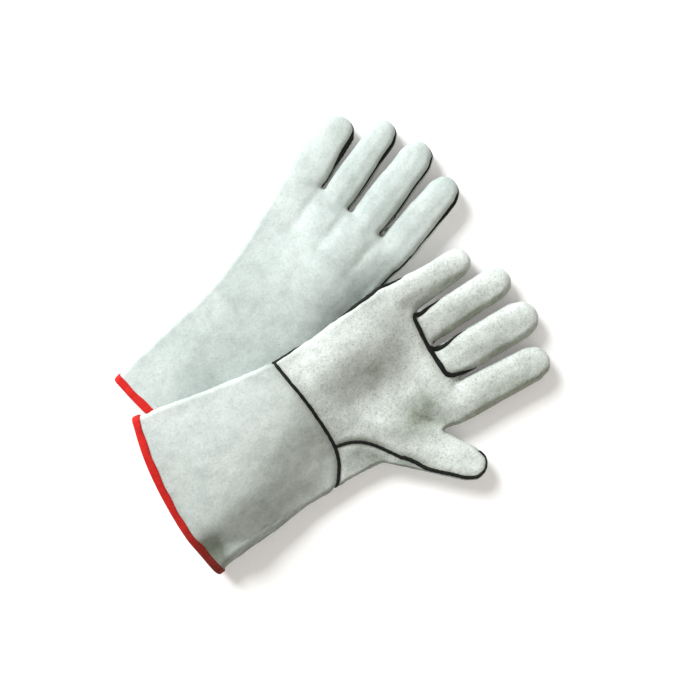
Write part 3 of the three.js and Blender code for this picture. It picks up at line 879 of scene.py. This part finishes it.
# ---------------------------------------------------------------- materials
class Paint:
    """A material in the making, whose methods add nodes and give back a socket."""

    def __init__(self, name, roughness, sheen=0.0, sheen_roughness=0.5, specular=0.3):
        self.material = bpy.data.materials.new(name)
        self.material.use_nodes = True
        self.nodes = self.material.node_tree.nodes
        self.links = self.material.node_tree.links
        self.inputs = self.nodes["Principled BSDF"].inputs
        self.inputs["Roughness"].default_value = roughness
        self.inputs["Specular IOR Level"].default_value = specular
        self.inputs["Sheen Weight"].default_value = sheen
        self.inputs["Sheen Roughness"].default_value = sheen_roughness

    def base(self, colour):
        self.links.new(colour, self.inputs["Base Color"])

    def place(self):
        return self.nodes.new("ShaderNodeTexCoord").outputs["Object"]

    def noise(self, scale, detail=3.0, roughness=0.6, distortion=0.0):
        place = self.place()
        texture = self.nodes.new("ShaderNodeTexNoise")
        texture.inputs["Scale"].default_value = scale
        texture.inputs["Detail"].default_value = detail
        texture.inputs["Roughness"].default_value = roughness
        texture.inputs["Distortion"].default_value = distortion
        self.links.new(place, texture.inputs["Vector"])
        return texture.outputs["Fac"]

    def ramp(self, value, *stops):
        node = self.nodes.new("ShaderNodeValToRGB")
        self.links.new(value, node.inputs["Fac"])
        elements = node.color_ramp.elements
        while len(elements) < len(stops):
            elements.new(0.5)
        for element, (at, colour) in zip(elements, stops):
            element.position = at
            element.color = (*colour, 1)
        return node.outputs["Color"]

    def mixed(self, blend, factor, a, b):
        node = self.nodes.new("ShaderNodeMix")
        node.data_type = "RGBA"
        node.blend_type = blend
        for socket, value in ((node.inputs["Factor"], factor), (node.inputs["A"], a), (node.inputs["B"], b)):
            if isinstance(value, (int, float)):
                socket.default_value = value
            elif isinstance(value, tuple):
                socket.default_value = (*value, 1)
            else:
                self.links.new(value, socket)
        return node.outputs["Result"]

    def times(self, a, b, factor=1.0):
        return self.mixed("MULTIPLY", factor, a, b)

    def bump(self, *layers):
        """Bump maps in a row: each is (height, strength, depth)."""
        last = None
        for height, strength, depth in layers:
            node = self.nodes.new("ShaderNodeBump")
            node.inputs["Strength"].default_value = strength
            node.inputs["Distance"].default_value = depth
            self.links.new(height, node.inputs["Height"])
            if last:
                self.links.new(last, node.inputs["Normal"])
            last = node.outputs["Normal"]
        self.links.new(last, self.inputs["Normal"])

    def attribute(self, name):
        node = self.nodes.new("ShaderNodeAttribute")
        node.attribute_name = name
        return node.outputs["Fac"]

    def weave(self, pitch):
        """Two crossing sets of ribs."""
        place = self.place()
        ribs = []
        for direction in ("X", "Y"):
            wave = self.nodes.new("ShaderNodeTexWave")
            wave.wave_type = "BANDS"
            wave.bands_direction = direction
            wave.inputs["Scale"].default_value = 0.05 / pitch * 2 * math.pi
            wave.inputs["Distortion"].default_value = 0.6
            wave.inputs["Detail Scale"].default_value = 2
            self.links.new(place, wave.inputs["Vector"])
            ribs.append(wave.outputs["Fac"])
        both = self.nodes.new("ShaderNodeMath")
        both.operation = "MAXIMUM"
        self.links.new(ribs[0], both.inputs[0])
        self.links.new(ribs[1], both.inputs[1])
        return both.outputs["Value"]


def grey(value):
    return (value, value, value)


# The tint of the painted shade along the seams.
SEAM_SHADE_TINT = (0.62, 0.62, 0.57)
# The tint of soil and painted shade.
SOIL_AND_SHADE_TINT = (0.42, 0.43, 0.37)


def suede(name, light, dark, nap_strength):
    """Split leather, mottled, speckled by its nap, with painted shade along its seams, and darker where soil and
    painted shade lie.
    """
    paint = Paint(name, 0.95, sheen=0.1, sheen_roughness=0.6, specular=0.12)
    patches = paint.ramp(paint.noise(22, 5, 0.62, 0.4), (0.34, grey(0)), (0.66, grey(1)))
    colour = paint.mixed("MIX", patches, dark, light)
    clouds = paint.ramp(paint.noise(75, 5, 0.7), (0.28, grey(0.86)), (0.6, grey(1.04)))
    colour = paint.times(colour, clouds)
    nap = paint.ramp(paint.noise(420, 4, 0.8, 0.3), (0.34, grey(0.62)), (0.5, grey(1.0)), (0.72, grey(1.1)))
    colour = paint.times(colour, nap, nap_strength)
    specks = paint.ramp(paint.noise(900, 2, 0.6), (0.3, grey(0.45)), (0.42, grey(1.0)))
    colour = paint.times(colour, specks, nap_strength)
    # painted shade along the seams
    colour = paint.mixed("MIX", paint.attribute("seam"), colour, paint.times(colour, SEAM_SHADE_TINT))
    # soil and painted shade, broken up by blotches
    blotches = paint.ramp(paint.noise(60, 4, 0.65), (0.3, grey(0.55)), (0.7, grey(1.15)))
    amount = paint.times(paint.attribute("soil_and_shade"), blotches)
    paint.base(paint.mixed("MIX", amount, colour, paint.times(colour, SOIL_AND_SHADE_TINT)))
    grain = paint.noise(800, 4, 0.75)
    pebble = paint.noise(240, 3, 0.55)
    waves = paint.noise(60, 3, 0.5)
    paint.bump((waves, 0.3, 0.9 * MM), (pebble, 0.4, 0.5 * MM), (grain, 0.5, 0.3 * MM))
    return paint.material


def piping_leather():
    paint = Paint("black_piping", 0.7, specular=0.2)
    grain = paint.noise(400, 3)
    paint.base(paint.ramp(grain, (0.3, (0.003, 0.0035, 0.003)), (0.8, (0.012, 0.014, 0.012))))
    paint.bump((paint.noise(700, 3), 0.3, 0.2 * MM))
    return paint.material


def tape():
    paint = Paint("red_tape", 0.8, sheen=0.04, specular=0.15)
    colour = paint.ramp(paint.noise(130, 4), (0.3, (0.46, 0.012, 0.01)), (0.7, (0.68, 0.02, 0.014)))
    ribs = paint.weave(0.7 * MM)
    colour = paint.times(colour, paint.ramp(ribs, (0.0, grey(0.8)), (1.0, grey(1.0))))
    # darkened by painted shade towards its lower end
    paint.base(paint.mixed("MIX", paint.attribute("soil_and_shade"), colour, (0.13, 0.018, 0.01)))
    paint.bump((paint.noise(180, 3), 0.4, 0.5 * MM), (ribs, 0.3, 0.15 * MM))
    return paint.material


def thread(name, colour):
    paint = Paint(name, 0.6, sheen=0.1)
    twist = paint.noise(2400, 2)
    darker = tuple(0.7 * channel for channel in colour)
    paint.base(paint.ramp(twist, (0.3, darker), (0.7, colour)))
    paint.bump((twist, 0.4, 0.1 * MM))
    return paint.material


def fleece():
    paint = Paint("cotton_fleece", 1.0, sheen=0.3, sheen_roughness=0.4, specular=0.1)
    tufts = paint.noise(500, 5, 0.7)
    paint.base(paint.ramp(tufts, (0.25, (0.50, 0.47, 0.40)), (0.7, (0.80, 0.77, 0.69))))
    paint.bump((tufts, 0.8, 0.8 * MM), (paint.noise(1500, 2), 0.4, 0.3 * MM))
    return paint.material


BACK_LEATHER = suede("back_suede", (0.575, 0.63, 0.605), (0.485, 0.545, 0.525), 0.35)
CUFF_LEATHER = suede("cuff_suede", (0.55, 0.59, 0.565), (0.45, 0.495, 0.47), 0.4)
PALM_LEATHER = suede("palm_suede", (0.72, 0.765, 0.735), (0.57, 0.615, 0.585), 0.75)
BLACK = piping_leather()
RED = tape()
RED_THREAD = thread("red_thread", (0.42, 0.01, 0.01))
FLEECE = fleece()


# ---------------------------------------------------------------- hem
HEM_X = 1.6 * MM  # where the leather ends, inside the tape's fold
LIP = 5.0 * MM  # how far the tape reaches over the leather
TAPE_STEP = 1.5 * MM
TAPE_EASE = 12
# The tape's section, as reach, a part of its width, and height in mm: over the leather, and over the lining.
OUTER_LIP = [(1, 0.1), (1, 0.8), (0.93, 1.15), (0.5, 1.3), (0.12, 1.35)]
INNER_LIP = [(0.12, -1.15), (0.5, -1.2), (0.93, -1.05), (1, -0.75), (1, -0.15)]
# The fold's outside and inside between them: place from the leather's edge inwards, and height, both in mm.
FOLD_OUTSIDE = [
    (-0.3, 1.4), (-1.5, 0.8), (-2.2, -0.5), (-2.4, -1.7), (-2.2, -2.9), (-1.4, -4.1), (-0.2, -4.7),
]
FOLD_INSIDE = [(-0.1, -3.35), (-0.9, -2.6), (-1.1, -1.7), (-0.9, -0.7), (0.0, 0.1)]
FOLD_EDGE = 0.5 * MM  # how far inside the rim the fold's height is taken
STITCH_STEP = 1.0 * MM
STITCH_POINTS = 4
STITCH_AT = 0.72  # of the lip
STITCH_HEIGHT = 1.25 * MM
STITCH_SINK = 0.3 * MM
THREAD = 0.28 * MM


def trimmed(glove, skin):
    """The skin without the plug in the cuff's mouth, and its edge's vertices drawn to one line."""
    plan = glove.plan(skin.co)
    skin = kept(skin, plan[:, 0] > glove.hem_x(plan[:, 1]) + HEM_X - 0.4 * VOXEL)
    rim = rim_of(skin)
    plan = glove.plan(skin.co)
    plan[rim, 0] = glove.hem_x(plan[rim, 1]) + HEM_X
    skin.co = glove.world(plan)
    return skin, rim


def rim_of(skin):
    """The vertices round the cuff's mouth, in order."""
    onward = {}
    for face in skin.faces:
        for a, b in zip(face, face[1:] + face[:1]):
            if len(skin.edge_faces[(min(a, b), max(a, b))]) == 1:
                onward[a] = b
    loops = []
    left = set(onward)
    while left:
        start = left.pop()
        loop = [start]
        while onward[loop[-1]] in left:
            loop.append(onward[loop[-1]])
            left.discard(loop[-1])
        loops.append(loop)
    return max(loops, key=len)


def binding_tape(glove, skin, rim):
    """The tape's outer lip lies on the leather, its fold wraps the hem, its inner lip lies on the lining."""
    tree = skin.tree()
    line = eased(resampled(skin.co[rim], TAPE_STEP, closed=True), TAPE_EASE, closed=True)
    along = glove.direction(1, 0)
    step = np.arange(len(line))
    width = LIP + 0.35 * MM * np.sin(step * 0.37) + 0.25 * MM * np.sin(step * 0.11 + 2)
    edge, edge_normal = on_skin(line + along * FOLD_EDGE, tree)
    turned = unit(edge_normal - along * (edge_normal @ along)[:, None])

    def lip(section, depth):
        rows = []
        for reach, height in section:
            base, normal = on_skin(line + along * (width * reach)[:, None], tree)
            rows.append(base + normal * (height * MM - depth))
        return rows

    def fold(section):
        return [edge + along * (place * MM - FOLD_EDGE) + turned * height * MM for place, height in section]

    rows = lip(OUTER_LIP, 0) + fold(FOLD_OUTSIDE) + lip(INNER_LIP, LINING_DEPTH + LINING) + fold(FOLD_INSIDE)
    co = np.stack(rows, axis=1)
    count, sides = co.shape[:2]
    faces = []
    for i in range(count):
        j = (i + 1) % count
        for k in range(sides):
            m = (k + 1) % sides
            faces.append((i * sides + k, j * sides + k, j * sides + m, i * sides + m))
    return co.reshape(-1, 3), faces


def stitches(glove, skin, rim):
    """A row of short stitches along the tape's lip."""
    line = eased(resampled(skin.co[rim], STITCH_STEP, closed=True), TAPE_EASE, closed=True)
    row, normals = on_skin(line + glove.direction(1, 0) * LIP * STITCH_AT, skin.tree(), STITCH_HEIGHT)
    parts = []
    for start in range(0, len(row) - STITCH_POINTS + 1, STITCH_POINTS):
        stitch = row[start : start + STITCH_POINTS].copy()
        outward = normals[start : start + STITCH_POINTS]
        stitch[0] -= outward[0] * STITCH_SINK
        stitch[-1] -= outward[-1] * STITCH_SINK
        parts.append(swept(stitch, False, THREAD, outward, sides=6))
    return joined(parts)


# ---------------------------------------------------------------- one glove
SEAM_SHADE = 4 * MM  # how far the painted shade by a seam reaches
STRIP_LIFT = 0.25 * MM  # of a strip's middle over the skin


def shades_of(glove, skin, normals, distance):
    """How much painted shade lies by the seams, and how much soil and painted shade, at each point."""
    facing_up = smooth((normals[:, 2] + 0.3) / 0.5)
    # painted shade on the sides that face the thumb's edge
    thumbward_shade = smooth((-normals @ glove.direction(0, 1) - 0.15) / 0.7)
    soil_and_shade = facing_up * spread_of(glove, skin.co, SOIL_AND_SHADE[glove.side]) + SIDE_SHADE[glove.side] * thumbward_shade
    # painted shade by the seams, fading away from them
    return {"seam": np.exp(-distance / SEAM_SHADE), "soil_and_shade": soil_and_shade}


def leather_of(node):
    if node.endswith(("_back", "_back_panel")):
        return BACK_LEATHER
    return CUFF_LEATHER if node.endswith("_cuff_panel") else PALM_LEATHER


def faces_of(labels, number, node):
    chosen = np.flatnonzero(labels == number)
    if not len(chosen):
        raise RuntimeError(f"no faces for {node}")
    return chosen


def add_leather(glove, skin, normals, shades):
    labels = labels_of(skin, glove.leather)
    for number, node in enumerate(glove.leather):
        chosen = faces_of(labels, number, node)
        name = f"{node}_suede"
        obj = shell_object(name, skin, normals, chosen, 0, LEATHER, leather_of(node), shades)
        stand_for(obj, glove, node)


def add_linings(glove, skin, normals):
    labels = labels_of(skin, glove.linings)
    for number, node in enumerate(glove.linings):
        chosen = faces_of(labels, number, node)
        obj = shell_object(f"{node}_fleece", skin, normals, chosen, LINING_DEPTH, LINING, FLEECE)
        stand_for(obj, glove, node)


def add_piping(glove, seams, tree):
    for node, lines in seams.items():
        parts = []
        for line, closed in lines:
            place, normal = on_skin(line, tree, STRIP_LIFT)
            place = eased(place, 3, closed)
            radius = PIPING * strip_width(glove, node, line)
            parts.append(swept(place, closed, radius, normal, flat=0.85))
        co, faces = joined(parts)
        stand_for(piece_object(f"{node}_strip", co, faces, BLACK), glove, node)
    for node in frame["nodes"]:
        if node.startswith(glove.side) and node.endswith("piping") and node not in seams:
            raise RuntimeError(f"no seam for {node}")


def add_hem(glove, skin, rim):
    side = glove.side
    co, faces = binding_tape(glove, skin, rim)
    tape_fold = piece_object(f"{side}_hem_tape", co, faces, RED)
    # painted shade towards the tape's lower end
    set_shade(tape_fold.data, "soil_and_shade", spread_of(glove, co, TAPE_SHADE[side]))
    stand_for(tape_fold, glove, f"{side}_hem_binding")
    co, faces = stitches(glove, skin, rim)
    thread_row = piece_object(f"{side}_hem_stitches", co, faces, RED_THREAD)
    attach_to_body(thread_row, f"{side}_hand")


def build_glove(side):
    glove = Glove(side)
    skin = glove_skin(glove)
    seams = glove_seams(glove, skin, labels_of(skin, glove.leather))
    distance = carve(skin, seams)
    skin.relax(2)
    whole = skin.tree()
    before_trim = nearest_of(skin.co)

    skin, rim = trimmed(glove, skin)
    normals = skin.normals()
    distance = np.array([distance[before_trim.find(Vector(c))[1]] for c in skin.co])
    add_leather(glove, skin, normals, shades_of(glove, skin, normals, distance))
    add_linings(glove, skin, normals)
    add_piping(glove, seams, whole)
    add_hem(glove, skin, rim)
    return glove


gloves = {side: build_glove(side) for side in ("left", "right")}


# ---------------------------------------------------------------- floor, light, camera
CAMERA_HEIGHT = 0.95
PICTURE_PLANE = 0.018  # the height at which the picture is as wide as the next value
PICTURE_WIDTH = 0.608
SENSOR = 36
PICTURE_MIDDLE = (0.1962, 0.0393)  # in the right glove's plan
RISE = 29  # degrees by which the right glove rises across the picture
FLOOR_HALF = 4
FLOOR_GLOW = (1, 0.95, 0.94, 1)  # keeps the shadows as pale as in a light tent
WORLD = (1, 0.975, 0.93, 1)

# Lights: place seen from the picture's middle, with the picture upright, then size, energy and colour.
LIGHTS = {
    "key": ((-1.7, 1.9, 1.75), 1.5, 152, (0.96, 0.985, 1)),
    "fill": ((1.8, -1.6, 1.4), 2.4, 16, (1, 0.93, 0.82)),
}


def floor_material():
    paint = Paint("pale_floor", 0.9, specular=0.1)
    paint.base(paint.ramp(paint.noise(3, 2), (0.3, grey(0.93)), (0.7, grey(0.95))))
    paint.inputs["Emission Color"].default_value = FLOOR_GLOW
    paint.inputs["Emission Strength"].default_value = 0.14
    return paint.material


def area_light(name, position, aim, size, energy, colour):
    data = bpy.data.lights.new(name, "AREA")
    data.size = size
    data.energy = energy
    data.color = colour
    obj = bpy.data.objects.new(name, data)
    obj.location = position
    obj.rotation_euler = (Vector(aim) - Vector(position)).to_track_quat("-Z", "Y").to_euler()
    bpy.context.scene.collection.objects.link(obj)


def stage():
    corners = [(x * FLOOR_HALF, y * FLOOR_HALF, 0) for x, y in ((-1, -1), (1, -1), (1, 1), (-1, 1))]
    floor = new_object("floor", corners, [(0, 1, 2, 3)], floor_material())
    world = bpy.data.worlds.new("studio")
    world.use_nodes = True
    background = world.node_tree.nodes["Background"]
    background.inputs["Color"].default_value = WORLD
    background.inputs["Strength"].default_value = 0.42
    bpy.context.scene.world = world
    bpy.context.scene.view_settings.view_transform = "Standard"


def studio(right):
    """The camera looks straight down, and the lights stand round the picture's middle."""
    heading = math.atan2(right.to_world[1][0], right.to_world[0][0]) - math.radians(RISE)
    centre = right.to_world @ Vector((*PICTURE_MIDDLE, 0))
    data = bpy.data.cameras.new("camera")
    camera = bpy.data.objects.new("camera", data)
    bpy.context.scene.collection.objects.link(camera)
    bpy.context.scene.camera = camera
    data.sensor_width = SENSOR
    data.lens = SENSOR * (CAMERA_HEIGHT - PICTURE_PLANE) / PICTURE_WIDTH
    camera.location = (centre.x, centre.y, CAMERA_HEIGHT)
    camera.rotation_euler = (0, 0, heading)
    turn = Matrix.Rotation(heading, 3, "Z")
    for name, (place, size, energy, colour) in LIGHTS.items():
        area_light(name, centre + turn @ Vector(place), centre, size, energy, colour)


stage()
studio(gloves["right"])
